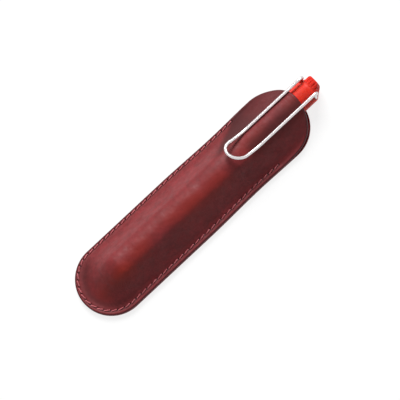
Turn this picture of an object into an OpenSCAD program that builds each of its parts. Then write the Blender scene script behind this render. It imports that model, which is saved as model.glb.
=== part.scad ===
// Single leather pen sleeve, holding a capped pen with a wire clip.
// +X runs along the sleeve towards its mouth, +Y across it, +Z up off the flat back.
// The origin is under the middle of the sleeve and pen, on the back panel's outer face.

/* [Sleeve] */
// Length of the sleeve, from its closed tip to the top of its mouth
sleeve_l = 155; // [150:1:175]
// Width across the closed end
tip_w = 39.4; // [38:0.2:46]
// Width at the waist, below the mouth
waist_w = 38.1; // [37:0.1:46]
// Width of the rounded head at the mouth
head_w = 39; // [38:0.2:46]
// Thickness of each leather panel
leather_t = 1.6; // [1.2:0.1:2.2]
// Straight length of the sides, from the tip to where they start to draw in
straight_l = 73; // [40:1:85]
// Distance from the top of the mouth down to the waist
waist_drop = 47; // [42:1:60]
// Width of the flat border outside the pen's channel
border_w = 4; // [3.6:0.1:4.8]
// Depth of the soft fold where the border turns up into the channel
fold_depth = 2; // [1:0.1:2.4]
// How far the front panel stands off the back one at the open head
head_lift = 1.8; // [0.5:0.1:3]
// Length over which it comes to stand off
head_lift_l = 20; // [15:1:25]
// How far that draws each edge of the front panel inward
head_draw = 0.6; // [0:0.1:1.2]

/* [Stitching] */
// Mean distance of the stitch line from the edge of the leather
stitch_inset = 2; // [1.8:0.1:2.2]
// How far the seam lies off centre towards +Y
seam_shift = 0.5; // [0:0.1:0.6]
// Distance between stitch holes
stitch_pitch = 3.8; // [3:0.1:5]
// Thickness of the sewing thread
thread_d = 0.6; // [0.4:0.05:0.7]
// Sideways slant of each stitch, from one end to the other
stitch_slant = 0.6; // [0:0.05:1]
// Distance from the top of the mouth down to the seam's end on the +Y side
seam_drop_left = 33; // [30:0.5:45]
// Distance from the top of the mouth down to the seam's end on the -Y side
seam_drop_right = 30.5; // [30:0.5:45]
// Width of the groove that sinks the back stitches
groove_w = 1.3; // [1.2:0.1:1.8]

/* [Pen] */
// Length of the capped pen
pen_l = 140; // [130:1:142]
// How far the capped pen stands out of the mouth
pen_proud = 13.4; // [10:0.2:20]
// Outer diameter of the cap
cap_d = 13.7; // [13.2:0.1:14.4]
// Length of the cap with its crown
cap_l = 62; // [58:0.5:66]
// Wall of the cap's tube
cap_wall = 0.9; // [0.8:0.05:1.1]
// Outer diameter of the barrel where it meets the cap
barrel_d = 12.8; // [12.4:0.1:13.2]
// Outer diameter of the barrel near its closed end
barrel_end_d = 11.8; // [11.2:0.1:12.4]
// Wall of the barrel at its open end
barrel_wall = 1.4; // [1.2:0.05:1.5]
// Length of the grip that the cap covers
grip_l = 31; // [28:0.5:33]
// Length of the nib in front of the grip
nib_l = 16; // [14:0.5:17]
// Length of the ink cartridge
cartridge_l = 38; // [32:1:42]
// Outer diameter of the ink cartridge
cartridge_d = 7.4; // [6.8:0.1:7.8]

/* [Crown] */
// Length of the crown in front of the cap's tube
crown_l = 4.6; // [4:0.1:5.5]
// Diameter of the crown at its foot
crown_d = 12.2; // [11.6:0.1:12.6]
// Number of flutes round the crown
crown_flutes = 16; // [12:1:20]
// Length along the pen that the slanted flat on one side of the crown takes
bevel_l = 6.6; // [5.5:0.1:7]
// Depth of that flat across the pen at the top of the crown
bevel_depth = 5.8; // [4.5:0.1:6.2]

/* [Clip] */
// Diameter of the clip's wire
wire_d = 1.75; // [1.5:0.05:1.9]
// Distance between the middles of the clip's two legs
clip_span = 11.5; // [10.6:0.1:11.6]
// Length from the clip's two feet to the tip of its loop
clip_l = 54; // [48:0.5:58]
// Length of the loop's round end
loop_l = 6; // [5:0.1:8]
// Length over which the clip lifts away from the sleeve
flare_l = 17; // [12:0.5:22]
// Height that the loop's tip lifts above the legs
flare_h = 5.4; // [4:0.1:7]
// Sideways lean of the loop's tip towards +Y
loop_lean = 1.2; // [0:0.1:2]
// Radius of the hook over each foot of the clip
hook_r = 1.4; // [1.2:0.1:1.6]

/* [Clearances] */
// Gap between the pen and the leather round it
pen_gap = 0.3; // [0.25:0.05:0.6]
// Gap between the clip's wire and what it lies on or goes into
clip_gap = 0.3; // [0.25:0.05:0.4]
// Gap between the grip and the cap that slides over it
cap_gap = 0.3; // [0.2:0.05:0.4]
// Gap between hard pieces that slide together or meet end to end
slide_gap = 0.1; // [0.05:0.01:0.15]
// Gap between hard pieces that are fixed together
fixed_gap = 0.05; // [0.02:0.01:0.08]

/* [Hidden] */
leather_red = [0.46, 0.14, 0.15];
lining_red = [0.55, 0.16, 0.17];
thread_red = [0.66, 0.24, 0.27];
pen_red = [0.87, 0.18, 0.16];
pen_black = [0.08, 0.08, 0.09];
ink_blue = [0.1, 0.16, 0.5];
seal_grey = [0.75, 0.74, 0.7];
steel = [0.82, 0.82, 0.84];
// How far a cutting shape runs past the face that it cuts
cut_past = 1;
// Least width that a shape may narrow to
least_w = 0.01;

// Where things lie along the sleeve
tip_x = -(sleeve_l + pen_proud) / 2;
mouth_x = tip_x + sleeve_l;
crown_x = mouth_x + pen_proud;
tip_r = tip_w / 2;
head_r = head_w / 2;
tip_cx = tip_x + tip_r;
head_cx = mouth_x - head_r;
straight_x = tip_x + straight_l;
waist_x = mouth_x - waist_drop;
pen_z = leather_t + pen_gap + cap_d / 2;
channel_r = cap_d / 2 + pen_gap;
pen_end_x = crown_x - pen_l;
cap_lip_x = crown_x - cap_l;
cap_top_x = crown_x - crown_l;
// The channel starts to fall just past the pen's end, and has gone where the border starts
fall_x = pen_end_x - pen_gap;
fallen_x = tip_x + border_w;
// The front panel starts to stand off the back just above the seam
lift_x = mouth_x - min(seam_drop_left, seam_drop_right) + stitch_pitch / 4;

// Outline of the sleeve
tip_steps = 13;
side_steps = 30;
head_steps = 14;

function soft_step(u) = let (v = min(max(u, 0), 1)) v * v * (3 - 2 * v);
function between(a, b, u) = a + (b - a) * soft_step(u);
function circle_half(r, x) = sqrt(max(r * r - x * x, 0));
function side_half(x) = x < waist_x
    ? between(tip_r, waist_w / 2, (x - straight_x) / (waist_x - straight_x))
    : between(waist_w / 2, head_r, (x - waist_x) / (head_cx - waist_x));
function half_w(x) = x < tip_cx ? circle_half(tip_r, x - tip_cx)
    : x > head_cx ? circle_half(head_r, x - head_cx)
    : side_half(x);
stations = concat(
    [for (i = [0:tip_steps]) tip_cx - tip_r * cos(90 * i / tip_steps)],
    [for (i = [1:side_steps - 1]) tip_cx + (head_cx - tip_cx) * i / side_steps],
    [for (i = [0:head_steps]) head_cx + head_r * sin(90 * i / head_steps)]);
last_station = len(stations) - 1;

module sleeve_outline() {
    polygon(concat(
        [for (i = [0:last_station]) [stations[i], -half_w(stations[i])]],
        [for (i = [last_station - 1:-1:1]) [stations[i], half_w(stations[i])]]));
}

// Shape of the front panel over the pen: a round crest, two straight slopes and a flat border

function lifted(x) = soft_step((x - lift_x) / head_lift_l);
function front_half(x) = half_w(x) * (1 - head_draw / head_r * lifted(x));
function channel_half(x) = half_w(min(max(x, tip_cx), head_cx)) - border_w;
function soft_max(a, b, k) = let (h = max(k - abs(a - b), 0) / k) max(a, b) + h * h * k / 4;
function slope_angle(base_y, base_z) =
    asin(channel_r / norm([base_y, pen_z - base_z])) + atan2(pen_z - base_z, base_y);
function roof_z(y, angle, r) = y < r * sin(angle)
    ? pen_z + sqrt(r * r - y * y)
    : pen_z + (r - y * sin(angle)) / cos(angle);
function tent_z(y, base_y, base_z, off) =
    soft_max(roof_z(abs(y), slope_angle(base_y, base_z), channel_r + off),
             base_z + off, fold_depth);
function tip_spread(x) = x < tip_cx
    ? (tip_r - border_w) / max(circle_half(tip_r - border_w, x - tip_cx), least_w)
    : 1;
function front_z(x, y, off) = let (
    base_z = leather_t + head_lift * lifted(x),
    full_z = tent_z(y * tip_spread(x), channel_half(x), base_z, off))
    base_z + off + (full_z - base_z - off) * soft_step((x - fallen_x) / (fall_x - fallen_x));

// Pieces of the sleeve

module back_panel() {
    color(lining_red)
    difference() {
        linear_extrude(leather_t) sleeve_outline();
        translate([0, 0, -cut_past]) linear_extrude(groove_depth + cut_past) seam_strip(groove_w);
    }
}

module front_panel() {
    across_steps = 30;
    rows = last_station - 1;
    columns = across_steps + 1;
    count = rows * columns;
    function grid(off) = [for (i = [1:rows], j = [0:across_steps])
        let (x = stations[i], y = front_half(x) * (2 * j / across_steps - 1))
        [x, y, front_z(x, y, off)]];
    function end_point(x, off) = [x, 0, front_z(x, 0, off)];
    points = concat(grid(0), grid(leather_t),
        [end_point(tip_x, 0), end_point(tip_x, leather_t),
         end_point(mouth_x, 0), end_point(mouth_x, leather_t)]);
    function low(i, j) = i * columns + j;
    function top(i, j) = count + low(i, j);
    tip_low = 2 * count;
    tip_top = tip_low + 1;
    mouth_low = tip_low + 2;
    mouth_top = tip_low + 3;
    m = across_steps;
    skin_faces = [for (i = [0:rows - 2], j = [0:m - 1]) each [
        [top(i, j), top(i, j + 1), top(i + 1, j)],
        [top(i, j + 1), top(i + 1, j + 1), top(i + 1, j)],
        [low(i, j), low(i + 1, j), low(i, j + 1)],
        [low(i, j + 1), low(i + 1, j), low(i + 1, j + 1)]]];
    edge_faces = [for (i = [0:rows - 2]) each [
        [low(i, 0), top(i, 0), top(i + 1, 0)],
        [low(i, 0), top(i + 1, 0), low(i + 1, 0)],
        [low(i, m), top(i + 1, m), top(i, m)],
        [low(i, m), low(i + 1, m), top(i + 1, m)]]];
    end_faces = [for (j = [0:m - 1]) each [
        [tip_top, top(0, j + 1), top(0, j)],
        [tip_low, low(0, j), low(0, j + 1)],
        [mouth_top, top(rows - 1, j), top(rows - 1, j + 1)],
        [mouth_low, low(rows - 1, j + 1), low(rows - 1, j)]]];
    corner_faces = [
        [tip_low, tip_top, top(0, 0)],
        [tip_low, top(0, 0), low(0, 0)],
        [tip_low, top(0, m), tip_top],
        [tip_low, low(0, m), top(0, m)],
        [mouth_low, top(rows - 1, 0), mouth_top],
        [mouth_low, low(rows - 1, 0), top(rows - 1, 0)],
        [mouth_low, mouth_top, top(rows - 1, m)],
        [mouth_low, top(rows - 1, m), low(rows - 1, m)]];
    color(leather_red)
    polyhedron(points, concat(skin_faces, edge_faces, end_faces, corner_faces));
}

// The seam runs from its +Y end down the side, round the closed end and up the -Y side

seam_left_x = mouth_x - seam_drop_left;
seam_right_x = mouth_x - seam_drop_right;
seam_r = tip_r - stitch_inset;
seam_left_l = seam_left_x - tip_cx;
seam_bend_l = PI * seam_r;
seam_l = seam_left_l + seam_bend_l + seam_right_x - tip_cx;
stitch_count = round(seam_l / stitch_pitch);
stitch_step = seam_l / stitch_count;
thread_r = thread_d / 2;
thread_sides = 5;
groove_depth = thread_d + fixed_gap;

function seam_out(d) = let (turn = 180 * (d - seam_left_l) / seam_bend_l)
    d < seam_left_l ? [0, 1]
    : d > seam_left_l + seam_bend_l ? [0, -1]
    : [-sin(turn), cos(turn)];
function seam_edge(x, side) = [x, side * (side_half(x) - stitch_inset) + seam_shift];
function seam_point(d) = d < seam_left_l ? seam_edge(seam_left_x - d, 1)
    : d > seam_left_l + seam_bend_l
    ? seam_edge(tip_cx + d - seam_left_l - seam_bend_l, -1)
    : [tip_cx, seam_shift] + seam_r * seam_out(d);

module seam_strip(w) {
    steps = 2 * stitch_count;
    function rim(i, side) = let (d = seam_l * i / steps) seam_point(d) + side * w / 2 * seam_out(d);
    polygon(concat([for (i = [0:steps]) rim(i, 1)], [for (i = [steps:-1:0]) rim(i, -1)]));
}

// One thread waves between the face that it shows on and the middle of the leather,
// so each stitch shows for most of its length and dips into the holes at its two ends

function stitch_place(d, out, height) =
    let (p = seam_point(d) + out * seam_out(d)) [p[0], p[1], height(p[0], p[1])];
function stitch_route(face, middle) = [for (k = [0:stitch_count - 1]) each let (
    start = k * stitch_step,
    end = start + stitch_step,
    dip = 0.04 * stitch_step,
    rise = 0.13 * stitch_step)
    [stitch_place(start + dip, stitch_slant / 4, middle),
     stitch_place(start + rise, stitch_slant / 2, face),
     stitch_place(end - rise, -stitch_slant / 2, face),
     stitch_place(end - dip, -stitch_slant / 4, middle)]];

module needle_thread() {
    face = function (x, y) front_z(x, y, leather_t) + thread_r / 2;
    middle = function (x, y) leather_t + thread_r + fixed_gap;
    color(thread_red)
    tube(stitch_route(face, middle), thread_r, thread_sides);
}

module bobbin_thread() {
    face = function (x, y) fixed_gap + thread_r;
    middle = function (x, y) leather_t - thread_r - fixed_gap;
    color(thread_red)
    tube(stitch_route(face, middle), thread_r, thread_sides);
}

// A round tube along a route, with a ring at each point
// The first ring's side is picked off the run's own line, near upright

first_side = [0.01, 0.02, 1];

function unit(v) = v / norm(v);
function run_dir(p, i) = let (last = len(p) - 1)
    i == 0 ? unit(p[1] - p[0])
    : i == last ? unit(p[last] - p[last - 1])
    : unit(unit(p[i + 1] - p[i]) + unit(p[i] - p[i - 1]));
function square_to(v, dir) = unit(v - (v * dir) * dir);
function ring_sides(p) = [for (
    i = 0, side = square_to(first_side, run_dir(p, 0));
    i < len(p);
    i = i + 1, side = i < len(p) ? square_to(side, run_dir(p, i)) : side) side];

module tube(route, r, sides) {
    rings = len(route);
    side = ring_sides(route);
    points = [for (i = [0:rings - 1], j = [0:sides - 1])
        let (a = 360 * j / sides)
        route[i] + r * (cos(a) * side[i] + sin(a) * cross(run_dir(route, i), side[i]))];
    function at(i, j) = i * sides + j % sides;
    wall = [for (i = [0:rings - 2], j = [0:sides - 1]) each [
        [at(i, j), at(i + 1, j), at(i, j + 1)],
        [at(i, j + 1), at(i + 1, j), at(i + 1, j + 1)]]];
    ends = [for (j = [1:sides - 2]) each [
        [at(0, 0), at(0, j), at(0, j + 1)],
        [at(rings - 1, 0), at(rings - 1, j + 1), at(rings - 1, j)]]];
    polyhedron(points, concat(wall, ends));
}

// Pieces of the pen: each is turned about the pen's axis, drawn as [radius, distance along X]

module on_pen_axis() {
    translate([0, 0, pen_z]) rotate([0, 90, 0]) children();
}

module turned(outline) {
    on_pen_axis() rotate_extrude($fn = 96) polygon(outline);
}

module bar_x(x0, x1, r) {
    translate([x0, 0, pen_z]) rotate([0, 90, 0]) cylinder(h = x1 - x0, r = r, $fn = 64);
}

function corner_arc(x, out, r, from, to, steps) = [for (i = [0:steps])
    let (a = from + (to - from) * i / steps) [out + r * cos(a), x + r * sin(a)]];

// Barrel, and the grip section whose tail goes into it
barrel_front_x = cap_lip_x - slide_gap;
barrel_bore_r = barrel_d / 2 - barrel_wall;
cap_bore_r = cap_d / 2 - cap_wall;
tail_l = 12;
tail_x = cap_lip_x - tail_l;
tail_r = barrel_bore_r - slide_gap;
grip_r = cap_bore_r - cap_gap;
grip_front_x = cap_lip_x + grip_l;
grip_front_r = grip_r - 0.8;
// Rubber ring that holds the cap, in its groove near the grip's back end, squeezed to the cap's bore
ring_d = 1.2;
ring_r = ring_d / 2 - fixed_gap;
ring_x = cap_lip_x + 3.2;
ring_seat_r = cap_bore_r - slide_gap - 2 * ring_r - fixed_gap;
// Neck of the ink cartridge, and the spike that the grip section pushes into it
neck_r = 2.8;
neck_l = 7;
neck_seat_x = tail_x + neck_l;
spike_r = 1.2;
spike_l = 6;
// Nib and feed, and the bore that holds them in the grip's front end
nib_seat_r = 3.9;
nib_seat_x = grip_front_x - 11;
nib_t = 0.3;
nib_tip_x = grip_front_x + nib_l;
feed_r = nib_seat_r - nib_t - 2 * fixed_gap;

module barrel() {
    end_round = 2.6;
    end_t = 3;
    room_behind_tail = 1;
    end_r = barrel_end_d / 2;
    inner_end_x = pen_end_x + end_t;
    color(pen_red)
    turned(concat(
        [[0, pen_end_x]],
        corner_arc(pen_end_x + end_round, end_r - end_round, end_round, -90, 0, 8),
        [[barrel_d / 2, barrel_front_x],
         [barrel_bore_r, barrel_front_x],
         [barrel_bore_r, tail_x - room_behind_tail],
         [end_r - barrel_wall, inner_end_x],
         [0, inner_end_x]]));
}

module grip_section() {
    waist_r = grip_r - 1.1;
    waist_back = 5;
    lip_back = 1.6;
    chamfer_l = 0.6;
    chamfer_depth = 0.5;
    collar_l = 2;
    ink_hole_r = 0.8;
    neck_hole_r = neck_r + fixed_gap;
    spike_x = neck_seat_x - spike_l;
    color(pen_black)
    turned([
        [spike_r, spike_x],
        [spike_r, neck_seat_x],
        [neck_hole_r, neck_seat_x],
        [neck_hole_r, tail_x],
        [tail_r, tail_x],
        [tail_r, cap_lip_x],
        [grip_r, cap_lip_x],
        [grip_r, ring_x - ring_d / 2],
        [ring_seat_r, ring_x - ring_d / 2],
        [ring_seat_r, ring_x + ring_d / 2],
        [grip_r, ring_x + ring_d / 2],
        [grip_r, ring_x + collar_l],
        [waist_r, grip_front_x - waist_back],
        [grip_front_r, grip_front_x - lip_back],
        [grip_front_r, grip_front_x - chamfer_l],
        [grip_front_r - chamfer_depth, grip_front_x],
        [nib_seat_r, grip_front_x],
        [nib_seat_r, nib_seat_x],
        [ink_hole_r, nib_seat_x],
        [ink_hole_r, spike_x]]);
}

module cap_stop_ring() {
    color(pen_black)
    on_pen_axis() rotate_extrude($fn = 96)
        translate([ring_seat_r + fixed_gap + ring_r, ring_x]) circle(r = ring_r, $fn = 32);
}

module ink_cartridge() {
    wall = 0.5;
    end_t = 1;
    end_round = 0.6;
    shoulder_l = 1;
    r = cartridge_d / 2;
    neck_end_x = neck_seat_x - fixed_gap;
    neck_bore_r = spike_r + fixed_gap;
    shoulder_x = tail_x - fixed_gap;
    end_x = neck_end_x - cartridge_l;
    color(ink_blue)
    turned([
        [0, end_x],
        [r - end_round, end_x],
        [r, end_x + end_round],
        [r, shoulder_x - shoulder_l],
        [neck_r, shoulder_x],
        [neck_r, neck_end_x],
        [neck_bore_r, neck_end_x],
        [neck_bore_r, shoulder_x],
        [r - wall, shoulder_x - shoulder_l - wall],
        [r - wall, end_x + end_t],
        [0, end_x + end_t]]);
}

// The feed is a combed rod, flat on top under the nib, that thins towards its tip
module feed() {
    short_of_nib = 5;
    flat_rise = 1.9;
    comb_start = 1.5;
    fins = 6;
    fin_step = 1.1;
    core_drop = 1.75;
    tip_t = 1;
    thin_angle = 32;
    feed_x = nib_seat_x + fixed_gap;
    feed_tip_x = nib_tip_x - short_of_nib;
    flat_z = pen_z + flat_rise;
    color(pen_black)
    difference() {
        bar_x(feed_x, feed_tip_x, feed_r);
        translate([feed_x - cut_past, -nib_seat_r, flat_z])
            cube([feed_tip_x - feed_x + 2 * cut_past, 2 * nib_seat_r, feed_r]);
        for (i = [0:fins - 1])
            translate([grip_front_x + comb_start + i * fin_step, -nib_seat_r, pen_z - core_drop - feed_r])
                cube([fin_step / 2, 2 * nib_seat_r, feed_r]);
        translate([feed_tip_x, 0, flat_z - tip_t])
            rotate([0, -thin_angle, 0])
            translate([-nib_l, -nib_seat_r, -nib_l])
            cube([2 * nib_l, 2 * nib_seat_r, nib_l]);
    }
}

// The nib is a thin curved plate with a slit and a breather hole, and it narrows to its tip
module nib() {
    rim_rise = 0.8;
    shoulder_l = 5.6;
    shoulder_half = 3.8;
    taper_l = 4.8;
    taper_half = 1.9;
    tip_half = 0.45;
    hole_back = 1;
    hole_r = 0.6;
    slit_w = 0.15;
    half = nib_seat_r - fixed_gap;
    base_x = nib_seat_x + fixed_gap;
    shoulder_x = grip_front_x + shoulder_l;
    hole_x = shoulder_x + hole_back;
    side = [[base_x - cut_past, half], [shoulder_x, shoulder_half],
            [shoulder_x + taper_l, taper_half], [nib_tip_x + least_w, tip_half]];
    color(steel)
    difference() {
        intersection() {
            difference() {
                bar_x(base_x, nib_tip_x, half);
                bar_x(base_x - cut_past, nib_tip_x + cut_past, half - nib_t);
            }
            translate([0, 0, pen_z + rim_rise])
                linear_extrude(half)
                polygon(concat([for (p = side) [p[0], -p[1]]], reversed(side)));
        }
        translate([hole_x, 0, pen_z]) cylinder(h = 2 * half, r = hole_r, $fn = 32);
        translate([hole_x, -slit_w / 2, pen_z]) cube([nib_l, slit_w, 2 * half]);
    }
}

// Cap and crown
cap_end_t = 4.1;
bore_end_x = cap_top_x - cap_end_t;
screw_r = 3;
screw_l = 3.2;

// What the slanted flat on the crown's -Y side cuts away
module bevel_cut() {
    start_x = crown_x - bevel_l;
    translate([0, 0, -cut_past])
        linear_extrude(2 * (pen_z + cap_d))
        polygon([[start_x, -cap_d / 2],
                 [crown_x + bevel_l, -cap_d / 2 + 2 * bevel_depth],
                 [crown_x + bevel_l, -cap_d],
                 [start_x, -cap_d]]);
}

module cap_tube() {
    lip_chamfer = 0.3;
    shoulder_l = 1.9;
    shoulder_steps = 5;
    ledge_w = 0.2;
    r = cap_d / 2;
    shoulder_x = cap_top_x - shoulder_l;
    shoulder_r = crown_d / 2 + ledge_w;
    screw_hole_r = screw_r + fixed_gap;
    screw_end_x = cap_top_x - screw_l - fixed_gap;
    color(pen_red)
    difference() {
        turned(concat(
            [[cap_bore_r, cap_lip_x],
             [r - lip_chamfer, cap_lip_x],
             [r, cap_lip_x + lip_chamfer],
             [r, shoulder_x]],
            [for (i = [1:shoulder_steps]) let (a = 90 * i / shoulder_steps)
                [shoulder_r + (r - shoulder_r) * cos(a), shoulder_x + shoulder_l * sin(a)]],
            [[screw_hole_r, cap_top_x],
             [screw_hole_r, screw_end_x],
             [0, screw_end_x],
             [0, bore_end_x],
             [cap_bore_r, bore_end_x]]));
        bevel_cut();
        for (side = [-1, 1])
            translate([peg_x, side * leg_y, peg_z - clip_gap])
                cylinder(h = cap_d, r = wire_r + clip_gap, $fn = 48);
    }
}

module inner_cap() {
    end_t = 1;
    seal_w = 0.4;
    lip_x = grip_front_x + slide_gap;
    end_x = bore_end_x - fixed_gap;
    r = cap_bore_r - fixed_gap;
    bore_r = grip_front_r - seal_w;
    color(seal_grey)
    turned([
        [bore_r, lip_x],
        [r, lip_x],
        [r, end_x],
        [0, end_x],
        [0, end_x - end_t],
        [bore_r, end_x - end_t]]);
}

module cap_crown() {
    foot_l = 1.2;
    taper = 0.6;
    top_round = 1.3;
    flute_r = 0.55;
    flute_out = 0.2;
    flute_start = 0.9;
    foot_r = crown_d / 2;
    waist_r = foot_r - taper;
    base_x = cap_top_x + fixed_gap;
    color(pen_red)
    difference() {
        turned(concat(
            [[0, cap_top_x - screw_l],
             [screw_r, cap_top_x - screw_l],
             [screw_r, base_x],
             [foot_r, base_x],
             [waist_r, cap_top_x + foot_l]],
            corner_arc(crown_x - top_round, waist_r - top_round, top_round, 0, 90, 5),
            [[0, crown_x]]));
        bevel_cut();
        for (i = [0:crown_flutes - 1])
            translate([0, 0, pen_z])
                rotate([360 * (i + 0.5) / crown_flutes, 0, 0])
                translate([cap_top_x + flute_start, 0, waist_r + flute_out])
                rotate([0, 90, 0])
                cylinder(h = crown_l, r = flute_r, $fn = 24);
    }
}

// The wire runs from one foot in the cap, over a hook and along a leg, round the loop and back
wire_r = wire_d / 2;
wire_sides = 12;
leg_y = clip_span / 2;
leg_z = pen_z + sqrt(pow(channel_r + leather_t + clip_gap + wire_r, 2) - leg_y * leg_y);
leg_rings = 8;
loop_rings = 14;
// The two feet stand in holes just below the cap's top, and end above the pen's axis
foot_back = 0.42;
foot_rise = 1.3;
hook_ahead = 0.3;
peg_x = cap_top_x - wire_r - foot_back;
peg_z = pen_z + foot_rise;
loop_tip_x = peg_x - clip_l;
flare_x = loop_tip_x + flare_l;
loop_x = loop_tip_x + loop_l;

function flare_z(x) = let (u = max((flare_x - x) / flare_l, 0)) leg_z + flare_h * u * u * (2 - u);
function leg_route(side) = concat(
    [[peg_x, side * leg_y, peg_z],
     [peg_x, side * leg_y, leg_z - 2.5 * hook_r]],
    [for (a = [-45:22.5:90])
        [peg_x + hook_ahead + hook_r * cos(a), side * leg_y, leg_z - hook_r + hook_r * sin(a)]],
    [for (i = [0:leg_rings - 1]) let (x = flare_x - (flare_x - loop_x) * i / leg_rings)
        [x, side * leg_y, flare_z(x)]]);
function loop_route() = [for (i = [0:loop_rings]) let (
    a = 180 * i / loop_rings,
    x = loop_x - loop_l * sin(a))
    [x, leg_y * cos(a) + loop_lean * sin(a), flare_z(x)]];
function reversed(list) = [for (i = [len(list) - 1:-1:0]) list[i]];

module wire_clip() {
    color(steel)
    tube(concat(leg_route(1), loop_route(), reversed(leg_route(-1))), wire_r, wire_sides);
}

back_panel();
front_panel();
needle_thread();
bobbin_thread();
barrel();
grip_section();
cap_stop_ring();
ink_cartridge();
feed();
nib();
cap_tube();
inner_cap();
cap_crown();
wire_clip();
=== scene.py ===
"""The looks of a leather pen sleeve and the pen in it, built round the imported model."""

import math

import bmesh
import bpy
import numpy as np
from mathutils import Matrix, Vector, noise


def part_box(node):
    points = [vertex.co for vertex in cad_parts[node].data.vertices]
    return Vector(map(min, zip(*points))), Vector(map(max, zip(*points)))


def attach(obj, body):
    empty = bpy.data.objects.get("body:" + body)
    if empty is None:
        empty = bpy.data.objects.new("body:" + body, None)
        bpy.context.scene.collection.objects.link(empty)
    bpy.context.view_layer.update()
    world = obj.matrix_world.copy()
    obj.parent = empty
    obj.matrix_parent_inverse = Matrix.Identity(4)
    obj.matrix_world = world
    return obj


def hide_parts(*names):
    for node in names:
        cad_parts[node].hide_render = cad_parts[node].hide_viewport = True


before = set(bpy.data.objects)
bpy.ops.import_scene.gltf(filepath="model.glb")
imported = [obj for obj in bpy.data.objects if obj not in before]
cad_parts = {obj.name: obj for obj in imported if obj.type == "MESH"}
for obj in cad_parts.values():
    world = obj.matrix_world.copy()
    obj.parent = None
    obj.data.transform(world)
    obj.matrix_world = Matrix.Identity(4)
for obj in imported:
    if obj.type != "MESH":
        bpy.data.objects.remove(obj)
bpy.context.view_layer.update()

# Everything below is worked out in millimetres and turned into metres when a mesh is made
MM = 0.001


def box_mm(node):
    """The lowest and highest corners of a CAD node, in millimetres."""
    low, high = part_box(node)
    return np.array(low) / MM, np.array(high) / MM


panel_low, panel_high = box_mm("front_panel")
cap_low, cap_high = box_mm("cap_tube")
back_top_z = box_mm("back_panel")[1][2]
barrel_end_x = box_mm("barrel")[0][0]

# Sleeve
LEATHER_T = back_top_z
TIP_X = panel_low[0]
MOUTH_X = panel_high[0]
TIP_R = panel_high[1]
HEAD_R = 19.5
WAIST_HALF = 19.05
STRAIGHT_L = 73.0
WAIST_DROP = 47.0
BORDER_W = 4.0
FOLD_DEPTH = 2.0
HEAD_LIFT = 1.8
HEAD_LIFT_L = 20.0
HEAD_DRAW = 0.6

# Seam
STITCH_INSET = 2.0
SEAM_SHIFT = 0.5
STITCH_PITCH = 3.8
STITCH_SLANT = 0.6
SEAM_DROP_LEFT = 33.0
SEAM_DROP_RIGHT = 30.5
SEAM_FADE = 0.6
NEEDLE_HOLE_R = 0.5

# Pen and clip
CAP_R = (cap_high[1] - cap_low[1]) / 2
PEN_Z = cap_low[2] + CAP_R
PEN_GAP = cap_low[2] - LEATHER_T
CHANNEL_R = CAP_R + PEN_GAP
WIRE_R = 0.875
CLIP_GAP = 0.3
LEG_Y = 5.75
CLIP_L = 54.0
LOOP_L = 6.0
FLARE_L = 17.0
FLARE_H = 5.4
LOOP_LEAN = 1.2
HOOK_R = 1.4
HOOK_AHEAD = 0.3
HOOK_DROP = 2.3 * HOOK_R
FOOT_BACK = 0.42
FOOT_RISE = 1.3
PEG_X = cap_high[0] - WIRE_R - FOOT_BACK
CLIP_TIP_X = PEG_X - CLIP_L

# Places along the sleeve
TIP_CX = TIP_X + TIP_R
HEAD_CX = MOUTH_X - HEAD_R
STRAIGHT_X = TIP_X + STRAIGHT_L
WAIST_X = MOUTH_X - WAIST_DROP
FALL_X = barrel_end_x - PEN_GAP
FALLEN_X = TIP_X + BORDER_W
LIFT_X = MOUTH_X - SEAM_DROP_RIGHT + STITCH_PITCH / 4


def soft_step(u):
    """0 below 0, 1 above 1, and a smooth rise between."""
    v = np.clip(u, 0, 1)
    return v * v * (3 - 2 * v)


def ramp(value, start, length):
    """0 up to the start, and 1 from a length past it."""
    return soft_step((value - start) / length)


def between(a, b, u):
    """From a, where u is 0, smoothly to b, where u is 1."""
    return a + (b - a) * soft_step(u)


def hill(value, width):
    """1 where value is 0, falling to almost nothing a few widths away."""
    return np.exp(-((value / width) ** 2))


def noise_at(x, y, wave, seed):
    """Smooth noise from about -1 to 1 over a plane, with bumps about a wave apart."""
    values = [noise.noise(Vector((a / wave, b / wave, seed))) for a, b in zip(x.ravel(), y.ravel())]
    return np.array(values).reshape(x.shape)


def patches(x, y, wave, seed, level, contrast=1.0):
    """Uneven patches from 0 to 1, about a wave apart, that vary about a level."""
    return soft_step(level + contrast * noise_at(x, y, wave, seed))


# Smooth form of the sleeve


def side_half(x):
    """Half the sleeve's width between the two round ends."""
    lower = between(TIP_R, WAIST_HALF, (x - STRAIGHT_X) / (WAIST_X - STRAIGHT_X))
    upper = between(WAIST_HALF, HEAD_R, (x - WAIST_X) / (HEAD_CX - WAIST_X))
    return np.where(x < WAIST_X, lower, upper)


def lifted(x):
    """How far the front panel has risen off the back one, from 0 to 1 near the mouth."""
    return ramp(x, LIFT_X, HEAD_LIFT_L)


def roof_z(y, angle, r):
    """A round crest of radius r that turns into a straight slope at the angle."""
    crest = PEN_Z + np.sqrt(np.maximum(r * r - y * y, 0))
    slope = PEN_Z + (r - y * np.sin(angle)) / np.cos(angle)
    return np.where(y < r * np.sin(angle), crest, slope)


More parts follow.
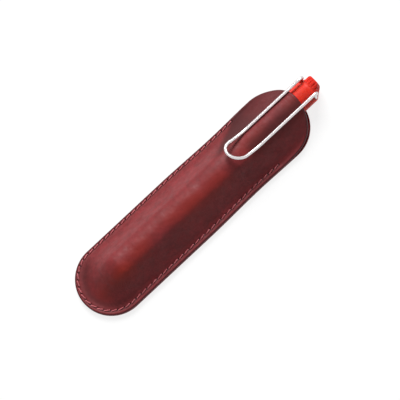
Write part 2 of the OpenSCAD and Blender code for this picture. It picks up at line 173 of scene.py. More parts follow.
def front_z(x, y, off):
    """Height of the front panel's inner face, where off is 0, or of one that lies off above it."""
    base_y = side_half(np.clip(x, TIP_CX, HEAD_CX)) - BORDER_W
    base_z = LEATHER_T + HEAD_LIFT * lifted(x)
    rise = PEN_Z - base_z
    angle = np.arcsin(CHANNEL_R / np.hypot(base_y, rise)) + np.arctan2(rise, base_y)
    inner_r = TIP_R - BORDER_W
    never_zero = 1e-4
    chord = np.sqrt(np.maximum(inner_r**2 - np.minimum(x - TIP_CX, 0) ** 2, never_zero))
    roof = roof_z(np.abs(y) * inner_r / chord, angle, CHANNEL_R + off)
    floor = base_z + off
    blend = np.maximum(FOLD_DEPTH - np.abs(roof - floor), 0) / FOLD_DEPTH
    full = np.maximum(roof, floor) + blend**2 * FOLD_DEPTH / 4
    return floor + (full - floor) * ramp(x, FALLEN_X, FALL_X - FALLEN_X)


# The seam's course, measured along it from its +Y end
SEAM_LEFT_X = MOUTH_X - SEAM_DROP_LEFT
SEAM_RIGHT_X = MOUTH_X - SEAM_DROP_RIGHT
SEAM_R = TIP_R - STITCH_INSET
SEAM_LEFT_L = SEAM_LEFT_X - TIP_CX
SEAM_BEND_L = math.pi * SEAM_R
SEAM_L = SEAM_LEFT_L + SEAM_BEND_L + SEAM_RIGHT_X - TIP_CX
STITCH_COUNT = round(SEAM_L / STITCH_PITCH)
STITCH_STEP = SEAM_L / STITCH_COUNT


def seam_place(along, out):
    """The point that lies along the seam, and out from it towards the edge."""
    if along < SEAM_LEFT_L:
        x = SEAM_LEFT_X - along
        return x, float(side_half(x)) - STITCH_INSET + SEAM_SHIFT + out
    if along > SEAM_LEFT_L + SEAM_BEND_L:
        x = TIP_CX + along - SEAM_LEFT_L - SEAM_BEND_L
        return x, SEAM_SHIFT + STITCH_INSET - float(side_half(x)) - out
    turn = math.pi * (along - SEAM_LEFT_L) / SEAM_BEND_L
    return TIP_CX - (SEAM_R + out) * math.sin(turn), SEAM_SHIFT + (SEAM_R + out) * math.cos(turn)


def seam_coordinates(x, y):
    """How far along the seam points are, and how far out from it."""
    side = np.sign(y)
    out_side = np.abs(y) - (side_half(x) - STITCH_INSET) - SEAM_SHIFT * side
    along_left = SEAM_LEFT_X - x
    along_right = SEAM_LEFT_L + SEAM_BEND_L + x - TIP_CX
    along_side = np.where(y > 0, along_left, along_right)
    turn = np.arctan2(TIP_CX - x, y - SEAM_SHIFT)
    along_tip = SEAM_LEFT_L + SEAM_BEND_L * turn / math.pi
    out_tip = np.hypot(x - TIP_CX, y - SEAM_SHIFT) - SEAM_R
    in_tip = x < TIP_CX
    return np.where(in_tip, along_tip, along_side), np.where(in_tip, out_tip, out_side)


def sewn_part(along):
    """1 along the seam, fading to 0 just past its two ends."""
    return soft_step(along / SEAM_FADE + 1) * soft_step((SEAM_L - along) / SEAM_FADE + 1)


def needle_holes(along, out):
    """1 in the middle of each needle hole, and 0 away from them."""
    nearest = np.clip(np.round(along / STITCH_STEP), 0, STITCH_COUNT) * STITCH_STEP
    return hill(np.hypot(along - nearest, out), NEEDLE_HOLE_R) * sewn_part(along)


# Meshes


def add_piece(name, points, faces, material, body, replaced=()):
    """A smooth mesh, given in millimetres, that rides on a body."""
    mesh = bpy.data.meshes.new(name)
    mesh.from_pydata((np.asarray(points, float) * MM).tolist(), [], faces)
    mesh.validate()
    mesh.shade_smooth()
    piece = bpy.data.objects.new(name, mesh)
    bpy.context.scene.collection.objects.link(piece)
    mesh.materials.append(material)
    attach(piece, body)
    if replaced:
        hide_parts(*replaced)
    return piece


def add_attribute(piece, name, values):
    """A number at each point of the mesh, for its material."""
    attribute = piece.data.attributes.new(name, "FLOAT", "POINT")
    attribute.data.foreach_set("value", np.asarray(values, np.float32).ravel())


def loop_faces(rings, around):
    """Quads between closed rings of points, each ring next to the one before."""
    k = np.arange(rings - 1)[:, None] * around
    i = np.arange(around)[None, :]
    j = (i + 1) % around
    corners = [k + i, k + j, k + around + j, k + around + i]
    return np.stack(corners, -1).reshape(-1, 4).tolist()


# Leather panels, as rings of points that run over the outer face, round the edge and over the inner face
AROUND_STEP = 0.3
OUTER_ROUND = 0.45
INNER_ROUND = 0.2
EDGE_STEPS = 6
INNER_NEAR = [0.6, 1.5, 3.0, 4.5]
CLOSED_UP = 0.02

# Edge paint goes this far over the outer face and then fades. Inside, it stops where the lining starts
PAINT_W = 0.4
PAINT_FADE = 0.4
LINING_INSET = 0.3


def outline_rays():
    """For steps once round the outline: the spine's x, the way out from it, and how far the edge is."""
    side_count = round((HEAD_CX - TIP_CX) / AROUND_STEP)
    tip_count = round(math.pi * TIP_R / AROUND_STEP)
    head_count = round(math.pi * HEAD_R / AROUND_STEP)
    down = np.linspace(HEAD_CX, TIP_CX, side_count, endpoint=False)
    up = np.linspace(TIP_CX, HEAD_CX, side_count, endpoint=False)
    quarter = math.pi / 2
    tip_turn = np.linspace(quarter, 3 * quarter, tip_count, endpoint=False)
    head_turn = np.linspace(-quarter, quarter, head_count, endpoint=False)
    x = np.concatenate([down, np.full(tip_count, TIP_CX), up, np.full(head_count, HEAD_CX)])
    turn = np.concatenate([
        np.full(side_count, quarter), tip_turn, np.full(side_count, -quarter), head_turn])
    reach = np.concatenate([
        side_half(down), np.full(tip_count, TIP_R), side_half(up), np.full(head_count, HEAD_R)])
    return x, np.cos(turn), np.sin(turn), reach


def skin_rings(near, middle_count):
    """Distances from the edge for one face: the near ones as given, the rest as shares of what is left."""
    rings = [(d, 0.0) for d in near]
    rings += [(near[-1], (i + 1) / middle_count) for i in range(middle_count)]
    return rings


def edge_rings():
    """The edge from the outer face round to the inner one, as (distance in, height over the inner face)."""
    turns = np.linspace(0, math.pi / 2, EDGE_STEPS)
    outer = [(OUTER_ROUND * (1 - math.sin(a)), LEATHER_T - OUTER_ROUND * (1 - math.cos(a))) for a in turns]
    inner = [(INNER_ROUND * (1 - math.cos(a)), INNER_ROUND * (1 - math.sin(a))) for a in turns]
    return outer + inner


def ring_points(rings):
    """The flat places of all rings, and how far each point lies from the edge."""
    spine_x, way_x, way_y, reach = outline_rays()
    inset = np.array([d + (reach - d) * share for d, share in rings])
    x = spine_x + (reach - inset) * way_x
    y = (reach - inset) * way_y
    return x, y, inset


def merge_close(piece):
    """Joins the points where the rings have closed up on the spine."""
    bm = bmesh.new()
    bm.from_mesh(piece.data)
    bmesh.ops.remove_doubles(bm, verts=bm.verts, dist=CLOSED_UP * MM)
    bmesh.ops.recalc_face_normals(bm, faces=bm.faces)
    bm.to_mesh(piece.data)
    bm.free()
    piece.data.shade_smooth()


class Panel:
    """One leather panel's rings before they are shaped, and which face each of them is on.

    Both faces have rings at set distances from the edge, and then rings that share out the rest of
    the way to the middle. On the outer face the set distances are a step apart.
    """

    def __init__(self, near_step, near_count, outer_count, inner_count):
        near = [OUTER_ROUND + near_step * (i + 1) for i in range(near_count)]
        outer = skin_rings(near, outer_count)[::-1]
        edge = edge_rings()
        inner = skin_rings(INNER_NEAR, inner_count)
        heights = [LEATHER_T] * len(outer) + [height for d, height in edge] + [0.0] * len(inner)
        ring = np.arange(len(heights))[:, None]
        self.x, self.y, self.inset = ring_points(outer + [(d, 0.0) for d, height in edge] + inner)
        self.height = np.array(heights)[:, None]
        self.on_outer = (ring < len(outer)).astype(float)
        self.on_inner = (ring >= len(outer) + EDGE_STEPS).astype(float)

    def build(self, name, z, material, replaced, slot, **marks):
        """The finished piece. The marks are numbers on its outer face, which its material reads."""
        points = np.stack([self.x, self.y, z], -1).reshape(-1, 3)
        piece = add_piece(name, points, loop_faces(*self.x.shape), material, "sleeve",
                          replaced=replaced)
        painted = 1 - ramp(self.inset, PAINT_W, PAINT_FADE)
        lined = self.inset >= LINING_INSET
        add_attribute(piece, "paint", painted * (1 - self.on_inner) + self.on_inner * ~lined)
        add_attribute(piece, "inside", self.on_inner * lined)
        for mark, values in marks.items():
            add_attribute(piece, mark, values * self.on_outer)
        merge_close(piece)


# Relief of the front's outer face
SEAM_HOLD = 2.9
SEAM_HOLD_FADE = 1.8
SWELL_H = 0.3
SWELL_WAVE = 14
RIPPLE_SHARE = 0.35
RIPPLE_WAVE = 5
SWELL_HELD = 0.85
CREASE_H = 0.13
CREASE_WAVE = 1.5
CREASE_SLANT = 0.8
CREASE_STRETCH = 0.35
CREASE_PATCH = 13
FOLD_INSET = BORDER_W + 1.2
FOLD_HALF = 2.2
BULGE_H = 0.55
BULGE_Y = 7.2
BULGE_HALF = 3.2
BULGE_RISE_L = 20
BULGE_HELD = 0.6
PRESS_DEPTH = 0.12
RIM_H = 0.08
RIM_INSET = 0.9
RIM_HALF = 0.5
FURROW_HALF = 0.55
FURROW_DEPTH = 0.16
FRONT_HOLE_DEPTH = 0.3

# The clip's two legs press on the leather in a narrow line, and hold it down over a wider one
PRESS_HALF = 1.5
PRESS_START = 8
HOLD_HALF = 2.6
HOLD_START = 4
LEG_MARK_FADE = 8


def along_legs(x, y, half, start):
    """1 under the clip's two legs, from a start behind the loop's end."""
    return hill(np.abs(y) - LEG_Y, half) * ramp(x - CLIP_TIP_X, start, LEG_MARK_FADE)


def clip_mark(x, y):
    """Where the clip's two legs have pressed the leather."""
    return along_legs(x, y, PRESS_HALF, PRESS_START)


def under_clip(x, y):
    """Where the clip keeps the leather from swelling up."""
    return along_legs(x, y, HOLD_HALF, HOLD_START)


def fold_at(inset):
    """1 where the leather folds up from its flat border."""
    return hill(inset - FOLD_INSET, FOLD_HALF)


def front_relief(x, y, inset, furrow, hole):
    """What the outer face adds to the smooth form: swell, creases, bulge, clip marks, rim and seam."""
    loose = ramp(inset, SEAM_HOLD, SEAM_HOLD_FADE)
    held_down = under_clip(x, y)
    swell = noise_at(x, y, SWELL_WAVE, seed=1.7) + RIPPLE_SHARE * noise_at(x, y, RIPPLE_WAVE, seed=9.2)
    along = seam_coordinates(x, y)[0]
    wrinkles = noise_at(along + CREASE_SLANT * inset, inset * CREASE_STRETCH, CREASE_WAVE, seed=7.7)
    creases = wrinkles * fold_at(inset) * patches(x, y, CREASE_PATCH, seed=3.1, level=0.5, contrast=1.3)
    bulge = hill(np.abs(y) - BULGE_Y, BULGE_HALF) * soft_step((x - TIP_CX) / BULGE_RISE_L + 0.5)
    relief = SWELL_H * swell * loose * (1 - SWELL_HELD * held_down) + CREASE_H * creases * loose
    relief += BULGE_H * bulge * (1 - BULGE_HELD * held_down)
    relief -= PRESS_DEPTH * clip_mark(x, y)
    relief += RIM_H * hill(inset - RIM_INSET, RIM_HALF) * (1 - furrow)
    relief -= FURROW_DEPTH * furrow + FRONT_HOLE_DEPTH * hole
    return relief


# By the head the front is dark on its +Y side, past a slanting line, and less so towards the mouth
DARK_LINE_X = 18.3
DARK_LINE_Y = 7
DARK_LINE_SLOPE = 1.57
DARK_LINE_FADE = 11
DARK_SIDE_Y = 3.6
DARK_SIDE_FADE = 4
DARK_SHADE = 0.95
MOUTH_SHADE = 0.66
MOUTH_SHADE_X = 38
MOUTH_SHADE_FADE = 18

# Shade between the clip's legs, under them, and round the closed end
MIDDLE_SHADE = 0.8
MIDDLE_SHADE_X = 30
MIDDLE_SHADE_FADE = 7
MIDDLE_SHADE_Y = -3.2
MIDDLE_SHADE_HALF = 3.8
LEG_SHADE = 0.6
TIP_SHADE = 0.12
TIP_FOLD_SHADE = 0.5
TIP_SHADE_FADE = 14

# A warmer red along the crest is partly rubbed leather and partly painted light on its side away from the
# lamp. Over the end of the pen it is painted light
CREST_Y = -3.4
CREST_HALF = 5.2
CREST_FADE = 8
PEN_END_LIGHT = 1.4
PEN_END_X = FALL_X - 2
PEN_END_L = 10
PEN_END_Y = -5
PEN_END_HALF = 4.5


def head_shade(x, y):
    """How dark the front is by the head."""
    past_line = (x - DARK_LINE_X - DARK_LINE_SLOPE * (y - DARK_LINE_Y)) / DARK_LINE_FADE
    beyond = patches(x, y, wave=9, seed=4.4, level=0.5 + past_line, contrast=0.3)
    on_side = ramp(y, DARK_SIDE_Y, DARK_SIDE_FADE)
    shade = between(DARK_SHADE, MOUTH_SHADE, (x - MOUTH_SHADE_X) / MOUTH_SHADE_FADE)
    return beyond * on_side * shade


def front_shade(x, y, inset):
    """How dark the front is everywhere."""
    across = hill(y - MIDDLE_SHADE_Y, MIDDLE_SHADE_HALF)
    middle = MIDDLE_SHADE * across * ramp(x, MIDDLE_SHADE_X, MIDDLE_SHADE_FADE)
    near_tip = soft_step((TIP_CX - x) / TIP_SHADE_FADE + 0.5)
    tip = (TIP_SHADE + TIP_FOLD_SHADE * fold_at(inset)) * near_tip
    return np.maximum.reduce([head_shade(x, y), middle, LEG_SHADE * clip_mark(x, y), tip])


def front_rubbed(x, y):
    """How far the front is rubbed, with painted light, along the crest and over the end of the pen."""
    crest = hill(y - CREST_Y, CREST_HALF) * patches(x, y, wave=16, seed=5.8, level=0.6)
    crest = crest * ramp(x, FALLEN_X, CREST_FADE)
    pen_end = PEN_END_LIGHT * hill(y - PEN_END_Y, PEN_END_HALF) * hill(x - PEN_END_X, PEN_END_L)
    return np.maximum(crest, pen_end)


def front_leather(material):
    """The front panel, with its relief, its seam's furrow and holes, and its rounded edge."""
    panel = Panel(near_step=0.22, near_count=23, outer_count=34, inner_count=12)
    along, out = seam_coordinates(panel.x, panel.y)
    furrow = hill(out, FURROW_HALF) * sewn_part(along)
    hole = needle_holes(along, out)
    panel.y = panel.y * (1 - HEAD_DRAW / HEAD_R * lifted(panel.x))
    x, y, inset = panel.x, panel.y, panel.inset
    low = front_z(x, y, 0)
    high = front_z(x, y, LEATHER_T)
    z = low + (high - low) * panel.height / LEATHER_T
    z = z + front_relief(x, y, inset, furrow, hole) * panel.on_outer
    panel.build("front_leather", z, material, replaced=["front_panel"], slot="front_leather",
                hole=hole, groove=furrow, shade=front_shade(x, y, inset), rubbed=front_rubbed(x, y))


# Groove of the back's outer face
GROOVE_HALF = 0.65
GROOVE_FADE = 0.3
GROOVE_DEPTH = 0.6
BACK_HOLE_DEPTH = 0.2


def back_leather(material):
    """The back panel: flat, with a groove on the outside that sinks the stitches."""
    panel = Panel(near_step=0.25, near_count=15, outer_count=8, inner_count=8)
    along, out = seam_coordinates(panel.x, panel.y)
    groove = soft_step((GROOVE_HALF + GROOVE_FADE / 2 - np.abs(out)) / GROOVE_FADE) * sewn_part(along)
    hole = needle_holes(along, out)
    z = LEATHER_T - panel.height + (GROOVE_DEPTH * groove + BACK_HOLE_DEPTH * hole) * panel.on_outer
    nowhere = np.zeros_like(z)
    panel.build("back_leather", z, material, replaced=["back_panel"], slot="back_leather",
                hole=hole, groove=groove, shade=nowhere, rubbed=nowhere)


# Thread and wire are tubes along a line of points


def across_path(path):
    """Two unit vectors across a path at each of its points, which don't spin about it."""
    ahead = np.gradient(path, axis=0)
    ahead /= np.linalg.norm(ahead, axis=1)[:, None]
    side = np.zeros_like(path)
    last = np.array([0.01, 0.02, 1.0])
    for i, way in enumerate(ahead):
        last = last - way * (last @ way)
        last /= np.linalg.norm(last)
        side[i] = last
    return side, np.cross(ahead, side)


def tube_mesh(path, r, sides):
    """Points and faces of a closed round tube."""
    side, across = across_path(path)
    turn = np.arange(sides) * 2 * math.pi / sides
    ring = np.cos(turn)[None, :, None] * side[:, None] + np.sin(turn)[None, :, None] * across[:, None]
    points = (path[:, None] + r * ring).reshape(-1, 3)
    faces = loop_faces(len(path), sides)
    last = len(points) - sides
    faces.append(list(range(sides))[::-1])
    faces.append([last + i for i in range(sides)])
    return points, faces


# Thread
PLIES = 3
PLY_R = 0.19
PLY_SPREAD = 0.95 * PLY_R
PLY_SIDES = 7
TWIST_PITCH = 1.9
STITCH_POINTS = 19
STITCH_START = 0.09
STITCH_SHARE = 0.82
STITCH_STAND = 0.225
STITCH_DIP = 0.45
STITCH_FLATNESS = 7
FRONT_SINK = 0.12


def thread_stitches(name, surface_z, way, material, replaced):
    """Every stitch of one thread, of three twisted plies, that dips into its holes at both ends."""
    twist = 2 * math.pi * STITCH_STEP / TWIST_PITCH
    u = np.linspace(0, 1, STITCH_POINTS)
    arch = 1 - np.abs(2 * u - 1) ** STITCH_FLATNESS
    all_points = []
    all_faces = []
    offset = 0
    for k in range(STITCH_COUNT):
        along = (k + STITCH_START + STITCH_SHARE * u) * STITCH_STEP
        out = STITCH_SLANT * (0.5 - u)
        flat = np.array([seam_place(a, o) for a, o in zip(along, out)])
        z = surface_z(flat[:, 0], flat[:, 1]) + way * (STITCH_STAND * arch - STITCH_DIP * (1 - arch))
        middle = np.column_stack([flat, z])
        side, across = across_path(middle)
        for ply in range(PLIES):
            turn = (2 * math.pi * ply / PLIES + twist * u)[:, None]
            line = middle + PLY_SPREAD * (np.cos(turn) * side + np.sin(turn) * across)
            points, faces = tube_mesh(line, PLY_R, PLY_SIDES)
            all_points.append(points)
            all_faces += [[offset + i for i in face] for face in faces]
            offset += len(points)
    add_piece(name, np.concatenate(all_points), all_faces, material, "sleeve",
              replaced=replaced)


def front_stitches(material):
    """The thread on the front, sunk a little into its furrow."""
    thread_stitches("front_stitches", lambda x, y: front_z(x, y, LEATHER_T) - FRONT_SINK, 1,
                    material, ["needle_thread"])


def back_stitches(material):
    """The thread on the back, on the floor of its groove."""
    thread_stitches("back_stitches", lambda x, y: np.full_like(x, GROOVE_DEPTH), -1,
                    material, ["bobbin_thread"])


# Points along each part of the wire, and how often its corners are smoothed
FOOT_POINTS = 14
HOOK_POINTS = 16
LEG_POINTS = 100
LOOP_POINTS = 48
WIRE_SMOOTHINGS = 4
WIRE_SIDES = 24


def wire_path():
    """The clip's wire, from one foot over its hook, down a leg, round the loop and back."""
    wall = CHANNEL_R + LEATHER_T + CLIP_GAP + WIRE_R
    leg_z = PEN_Z + math.sqrt(wall**2 - LEG_Y**2)
    flare_x = CLIP_TIP_X + FLARE_L
    loop_x = CLIP_TIP_X + LOOP_L

    def flare_z(x):
        """Height of the wire's middle, which rises from the legs to the loop's end."""
        u = max((flare_x - x) / FLARE_L, 0)
        return leg_z + FLARE_H * u * u * (2 - u)

    def leg(side):
        """The foot, hook and straight run of one leg."""
        y = side * LEG_Y
        foot = [[PEG_X, y, z] for z in np.linspace(PEN_Z + FOOT_RISE, leg_z - HOOK_DROP, FOOT_POINTS)]
        hook = [[PEG_X + HOOK_AHEAD + HOOK_R * math.cos(a), y, leg_z - HOOK_R + HOOK_R * math.sin(a)]
                for a in np.linspace(-math.pi / 4, math.pi / 2, HOOK_POINTS)]
        run = [[x, y, flare_z(x)] for x in np.linspace(PEG_X - HOOK_R, loop_x, LEG_POINTS)]
        return foot + hook + run

    def loop_point(a):
        """A point of the loop, which leans to one side."""
        x = loop_x - LOOP_L * math.sin(a)
        return [x, LEG_Y * math.cos(a) + LOOP_LEAN * math.sin(a), flare_z(x)]

    loop = [loop_point(a) for a in np.linspace(0, math.pi, LOOP_POINTS + 2)[1:-1]]
    path = np.array(leg(1) + loop + leg(-1)[::-1])
    for _ in range(WIRE_SMOOTHINGS):
        path[1:-1] = path[1:-1] / 2 + (path[:-2] + path[2:]) / 4
    return path


def clip_wire(material):
    """The whole clip as one round wire."""
    points, faces = tube_mesh(wire_path(), WIRE_R, WIRE_SIDES)
    add_piece("clip_wire", points, faces, material, "clip", replaced=["wire_clip"])


# Materials


class Nodes:
    """Short calls to add nodes and links to one material, or to the world."""

    def __init__(self, owner):
        self.owner = owner
        owner.use_nodes = True
        self.tree = owner.node_tree
        self.shader = self.tree.nodes.get("Principled BSDF") or self.tree.nodes["Background"]

    def add(self, kind, **values):
        """A node. A value goes to the socket of that name, or else to the node's own setting."""
        node = self.tree.nodes.new(kind)
        for name, value in values.items():
            socket = node.inputs.get(name.replace("_", " "))
            if socket is not None:
                self.put(socket, value)
            else:
                setattr(node, name, value)
        return node

    def put(self, socket, value):
        """Links a socket to another node's result, or gives it a number or a colour."""
        if isinstance(value, bpy.types.NodeSocket):
            self.tree.links.new(value, socket)
        elif socket.type == "RGBA":
            socket.default_value = (*value, 1)
        else:
            socket.default_value = value

    def set(self, **values):
        """Values or links for the shader."""
        for name, value in values.items():
            self.put(self.shader.inputs[name.replace("_", " ")], value)

    def attribute(self, name):
        """A number that the mesh holds at each of its points."""
        return self.add("ShaderNodeAttribute", attribute_name=name).outputs["Fac"]

    def noise(self, scale, detail=4, roughness=0.5, distortion=0.0):
        """Noise over the object's own place, where scale is in bumps to the metre."""
        place = self.add("ShaderNodeTexCoord").outputs["Object"]
        node = self.add("ShaderNodeTexNoise", Vector=place, Scale=scale, Detail=detail,
                        Roughness=roughness, Distortion=distortion)
        return node.outputs["Fac"]

    def mix(self, share, a, b):
        """One colour turning into another. Inputs 6 and 7 of this kind of node are its colours."""
        node = self.add("ShaderNodeMix", data_type="RGBA")
        self.put(node.inputs[0], share)
        self.put(node.inputs[6], a)
        self.put(node.inputs[7], b)
        return node.outputs[2]

    def mix_value(self, share, a, b):
        """One number turning into another. Inputs 2 and 3 of this kind of node are its numbers."""
        node = self.add("ShaderNodeMix", data_type="FLOAT")
        self.put(node.inputs[0], share)
        self.put(node.inputs[2], a)
        self.put(node.inputs[3], b)
        return node.outputs[0]

    def between(self, value, low, high, to_low=0.0, to_high=1.0):
        """A value that runs from one range to another, and stops at its ends."""
        node = self.add("ShaderNodeMapRange")
        for i, number in enumerate([value, low, high, to_low, to_high]):
            self.put(node.inputs[i], number)
        return node.outputs[0]

    def math(self, operation, a, b):
        """Two numbers put together."""
        node = self.add("ShaderNodeMath", operation=operation)
        self.put(node.inputs[0], a)
        self.put(node.inputs[1], b)
        return node.outputs[0]

    def times(self, value, factor):
        """A value made larger or smaller."""
        return self.math("MULTIPLY", value, factor)

    def bump(self, height, strength, distance, normal=None):
        """Fine relief, where distance is its real height in millimetres."""
        node = self.add("ShaderNodeBump", Height=height, Strength=strength, Distance=distance * MM)
        if normal is not None:
            self.put(node.inputs["Normal"], normal)
        return node.outputs["Normal"]


def new_material(name):
    """A new material, ready for nodes."""
    return Nodes(bpy.data.materials.new(name))


# Painted shade, with some burnishing, in the seam's furrow and groove, and near black painted shade in the
# needle holes
GROOVE_SHADE_RED = (0.035, 0.004, 0.006)
HOLE_SHADE_BLACK = (0.006, 0.001, 0.002)
# Warmer red for rubbed leather and for painted light
WARM_RED = (0.3, 0.026, 0.018)


def leather_material(name, red, light_red, dark_red, lining, edge):
    """Waxed leather: blotched and mottled, with the marks, painted shade and painted light, lining and edge
    paint that its mesh holds.
    """
    n = new_material(name)
    painted = n.attribute("paint")
    shade = n.attribute("shade")
    blotches = n.between(n.noise(130, detail=3, roughness=0.55, distortion=0.6), 0.35, 0.7)
    mottle = n.between(n.noise(420, roughness=0.6, distortion=0.3), 0.3, 0.75)
    colour = n.mix(blotches, red, light_red)
    colour = n.mix(n.times(mottle, 0.42), colour, dark_red)
    # Warmer red of rubbed leather, with painted light, along the crest and over the end of the pen
    colour = n.mix(n.times(n.attribute("rubbed"), 0.7), colour, WARM_RED)
    colour = n.mix(shade, colour, dark_red)
    colour = n.mix(n.attribute("inside"), colour, lining)
    # Painted shade, with some burnishing, in the seam's furrow and groove
    colour = n.mix(n.times(n.attribute("groove"), 0.55), colour, GROOVE_SHADE_RED)
    # Painted shade in the needle holes
    colour = n.mix(n.times(n.attribute("hole"), 0.95), colour, HOLE_SHADE_BLACK)
    colour = n.mix(painted, colour, edge)
    grain = n.bump(n.noise(1500, detail=6, roughness=0.62), strength=0.4, distance=0.1)
    dents = n.bump(n.noise(230, detail=2), strength=0.5, distance=0.6, normal=grain)
    rough = n.between(n.noise(300, roughness=0.6), 0.3, 0.7, to_low=0.38, to_high=0.58)
    rough = n.mix_value(shade, rough, 0.75)
    rough = n.mix_value(painted, rough, 0.55)
    n.set(Base_Color=colour, Roughness=rough, Normal=dents, Specular_IOR_Level=0.22)
    return n.owner


def thread_material(name, dark, light):
    """Waxed thread, unevenly dyed."""
    n = new_material(name)
    dye = n.between(n.noise(900, detail=3), 0.3, 0.7)
    fibres = n.bump(n.noise(9000, detail=2), strength=0.3, distance=0.03)
    n.set(Base_Color=n.mix(dye, dark, light), Roughness=0.55, Normal=fibres,
          Specular_IOR_Level=0.4, Sheen_Weight=0.2)
    return n.owner


def plastic_material(name, colour, tint, roughness, gloss=0.5, depth=0.0):
    """Moulded plastic, slightly cloudy and worn. Depth is how much light goes into it."""
    n = new_material(name)
    cloud = n.between(n.noise(60, detail=3), 0.3, 0.7)
    wear = n.between(n.noise(700, detail=5, roughness=0.65), 0.45, 0.75)
    rough = n.between(wear, 0, 1, to_low=roughness, to_high=roughness + 0.12)
    waves = n.bump(n.noise(220, detail=2), strength=0.15, distance=0.02)
    n.set(Base_Color=n.mix(cloud, colour, tint), Roughness=rough, Normal=waves, Specular_IOR_Level=gloss)
    if depth:
        n.set(Subsurface_Weight=depth, Subsurface_Scale=3 * MM, Subsurface_Radius=(1, 0.15, 0.06))
    return n.owner


def metal_material(name, colour, tint, roughness):
    """Bright metal with faint clouds and scuffs."""
    n = new_material(name)
    cloud = n.between(n.noise(140, detail=3), 0.3, 0.7)
    scuffs = n.between(n.noise(1600, roughness=0.7), 0.5, 0.8)
    rough = n.between(scuffs, 0, 1, to_low=roughness, to_high=roughness + 0.15)
    waves = n.bump(n.noise(500, detail=3), strength=0.1, distance=0.01)
    n.set(Base_Color=n.mix(cloud, colour, tint), Roughness=rough, Metallic=1.0, Normal=waves)
    return n.owner


def dress(node, material):
    """Gives a CAD node its finish."""
    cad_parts[node].material_slots[0].material = material


def make_sleeve():
    """The sleeve's four pieces."""
    front_leather(leather_material(
        "front_leather", red=(0.21, 0.025, 0.028), light_red=(0.28, 0.034, 0.039),
        dark_red=(0.066, 0.014, 0.015), lining=(0.26, 0.018, 0.022), edge=(0.08, 0.008, 0.011)))
    # The back's lining and edge colours are lighter than the front's: painted light, so that the sliver of
    # them under the lifted head shows bright in its shade
    back_leather(leather_material(
        "back_leather", red=(0.18, 0.014, 0.016), light_red=(0.22, 0.02, 0.023),
        dark_red=(0.09, 0.008, 0.01), lining=(0.42, 0.03, 0.038), edge=(0.32, 0.026, 0.032)))
    thread = thread_material("seam_thread", dark=(0.46, 0.08, 0.095), light=(0.66, 0.19, 0.21))
    front_stitches(thread)
    back_stitches(thread)


def make_pen():
    """The clip as a finer wire, and finishes for the rest of the pen, whose CAD nodes keep their shape."""
    # The chrome's faint pink is painted reflection of the red leather and cap around it
    clip_wire(metal_material("clip_chrome", (0.68, 0.635, 0.64), (0.6, 0.56, 0.565), 0.2))
    red_plastic = plastic_material(
        "pen_red", (0.8, 0.034, 0.018), (0.86, 0.052, 0.03), 0.36, gloss=0.12, depth=0.35)
    dress("cap_tube", red_plastic)
    dress("cap_crown", plastic_material(
        "crown_red", (0.63, 0.029, 0.021), (0.73, 0.044, 0.028), 0.5, gloss=0.02, depth=0.25))
    dress("barrel", red_plastic)
    dress("grip_section", plastic_material("grip_black", (0.012, 0.012, 0.014), (0.02, 0.02, 0.022), 0.35))
    dress("cap_stop_ring", plastic_material("ring_rubber", (0.015, 0.015, 0.015), (0.03, 0.03, 0.03), 0.7))
    dress("ink_cartridge", plastic_material("ink_blue", (0.01, 0.02, 0.25), (0.02, 0.04, 0.35), 0.2))
    dress("feed", plastic_material("feed_black", (0.015, 0.015, 0.016), (0.025, 0.025, 0.026), 0.5))
    dress("nib", metal_material("nib_steel", (0.7, 0.69, 0.68), (0.6, 0.6, 0.6), 0.16))
    dress("inner_cap", plastic_material("inner_cap_grey", (0.5, 0.49, 0.46), (0.42, 0.41, 0.39), 0.5))


# Floor, world, lamps and camera

FLOOR_SIZE = 6.0
FLOOR_DROP = 0.05
PAPER = (0.86, 0.86, 0.86)
PALE_PAPER = (0.88, 0.88, 0.88)
DIM_PAPER = (0.2, 0.2, 0.2)
PAPER_GLOW = 0.84
WORLD_LEVEL = 0.05
LAMP_DISTANCE = 3.6
LAMP_SIZE = 2.0
VIEW_TILT = math.radians(14.5)
VIEW_ROLL = math.radians(43.02)
VIEW_DISTANCE = 3.0
SENSOR_W = 36
PICTURE_PIXELS = 400
MM_PER_PIXEL = 0.5254
# Where the middle of the sleeve, on the floor, lies in the photograph
ORIGIN_PIXEL = (202.5, 195.4)


def seen_directly(n):
    """1 for what the camera sees itself, in a mirror or through glass."""
    path = n.add("ShaderNodeLightPath")
    mirrored = n.math("MAXIMUM", path.outputs["Is Glossy Ray"], path.outputs["Is Transmission Ray"])
    return n.math("MAXIMUM", path.outputs["Is Camera Ray"], mirrored)


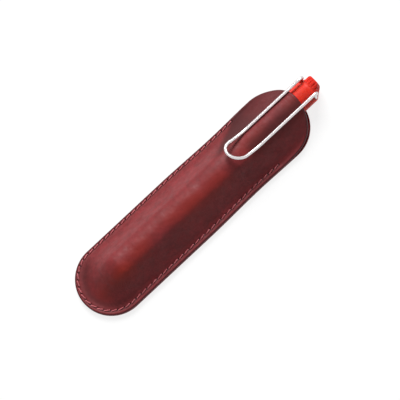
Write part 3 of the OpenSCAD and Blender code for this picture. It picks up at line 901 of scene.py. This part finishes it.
def make_floor():
    """White paper. Where it is seen it is dim but glows, so that it looks white and still takes a shadow."""
    n = new_material("floor_paper")
    seen = seen_directly(n)
    paper = n.mix(n.noise(3, detail=2), PAPER, PALE_PAPER)
    n.set(Base_Color=n.mix(seen, paper, DIM_PAPER), Roughness=0.9, Specular_IOR_Level=0.1,
          Emission_Color=(1, 1, 1), Emission_Strength=n.times(seen, PAPER_GLOW))
    bpy.ops.mesh.primitive_plane_add(size=FLOOR_SIZE, location=(0, 0, -FLOOR_DROP * MM))
    floor = bpy.context.object
    floor.name = "floor"
    floor.data.materials.append(n.owner)


def make_world():
    """A dim even light, which is white where it is seen."""
    n = Nodes(bpy.data.worlds.new("studio"))
    n.set(Color=(1, 1, 1), Strength=n.between(seen_directly(n), 0, 1, to_low=WORLD_LEVEL))
    bpy.context.scene.world = n.owner


def make_lamp(name, direction, level):
    """A soft square lamp. Level is what a white surface that faces it would show."""
    lamp = bpy.data.lights.new(name, "AREA")
    lamp.size = LAMP_SIZE
    lamp.energy = level * (math.pi * LAMP_DISTANCE) ** 2
    light = bpy.data.objects.new(name, lamp)
    bpy.context.scene.collection.objects.link(light)
    away = Vector(direction).normalized()
    light.location = away * LAMP_DISTANCE
    light.rotation_euler = away.to_track_quat("Z", "Y").to_euler()


def make_camera():
    """Looks down from the -Y side, rolled so that the sleeve points up to the right."""
    metres_per_pixel = MM_PER_PIXEL * MM
    lens = bpy.data.cameras.new("camera")
    lens.sensor_width = SENSOR_W
    lens.lens = SENSOR_W * VIEW_DISTANCE / (PICTURE_PIXELS * metres_per_pixel)
    camera = bpy.data.objects.new("camera", lens)
    bpy.context.scene.collection.objects.link(camera)
    level_y = Vector((0, math.cos(VIEW_TILT), math.sin(VIEW_TILT)))
    along = Vector((1, 0, 0))
    right = math.cos(VIEW_ROLL) * along - math.sin(VIEW_ROLL) * level_y
    up = math.sin(VIEW_ROLL) * along + math.cos(VIEW_ROLL) * level_y
    back = right.cross(up)
    half = PICTURE_PIXELS / 2
    shift_right = (ORIGIN_PIXEL[0] - half) * metres_per_pixel
    shift_up = (half - ORIGIN_PIXEL[1]) * metres_per_pixel
    place = back * VIEW_DISTANCE - right * shift_right - up * shift_up
    camera.matrix_world = Matrix.Translation(place) @ Matrix((right, up, back)).transposed().to_4x4()
    bpy.context.scene.camera = camera


make_sleeve()
make_pen()
make_floor()
make_world()
make_lamp("key", direction=(0.38, 0.58, 0.72), level=1.32)
make_lamp("fill", direction=(-0.3, -0.8, 0.6), level=0.02)
make_camera()
bpy.context.scene.view_settings.view_transform = "Standard"
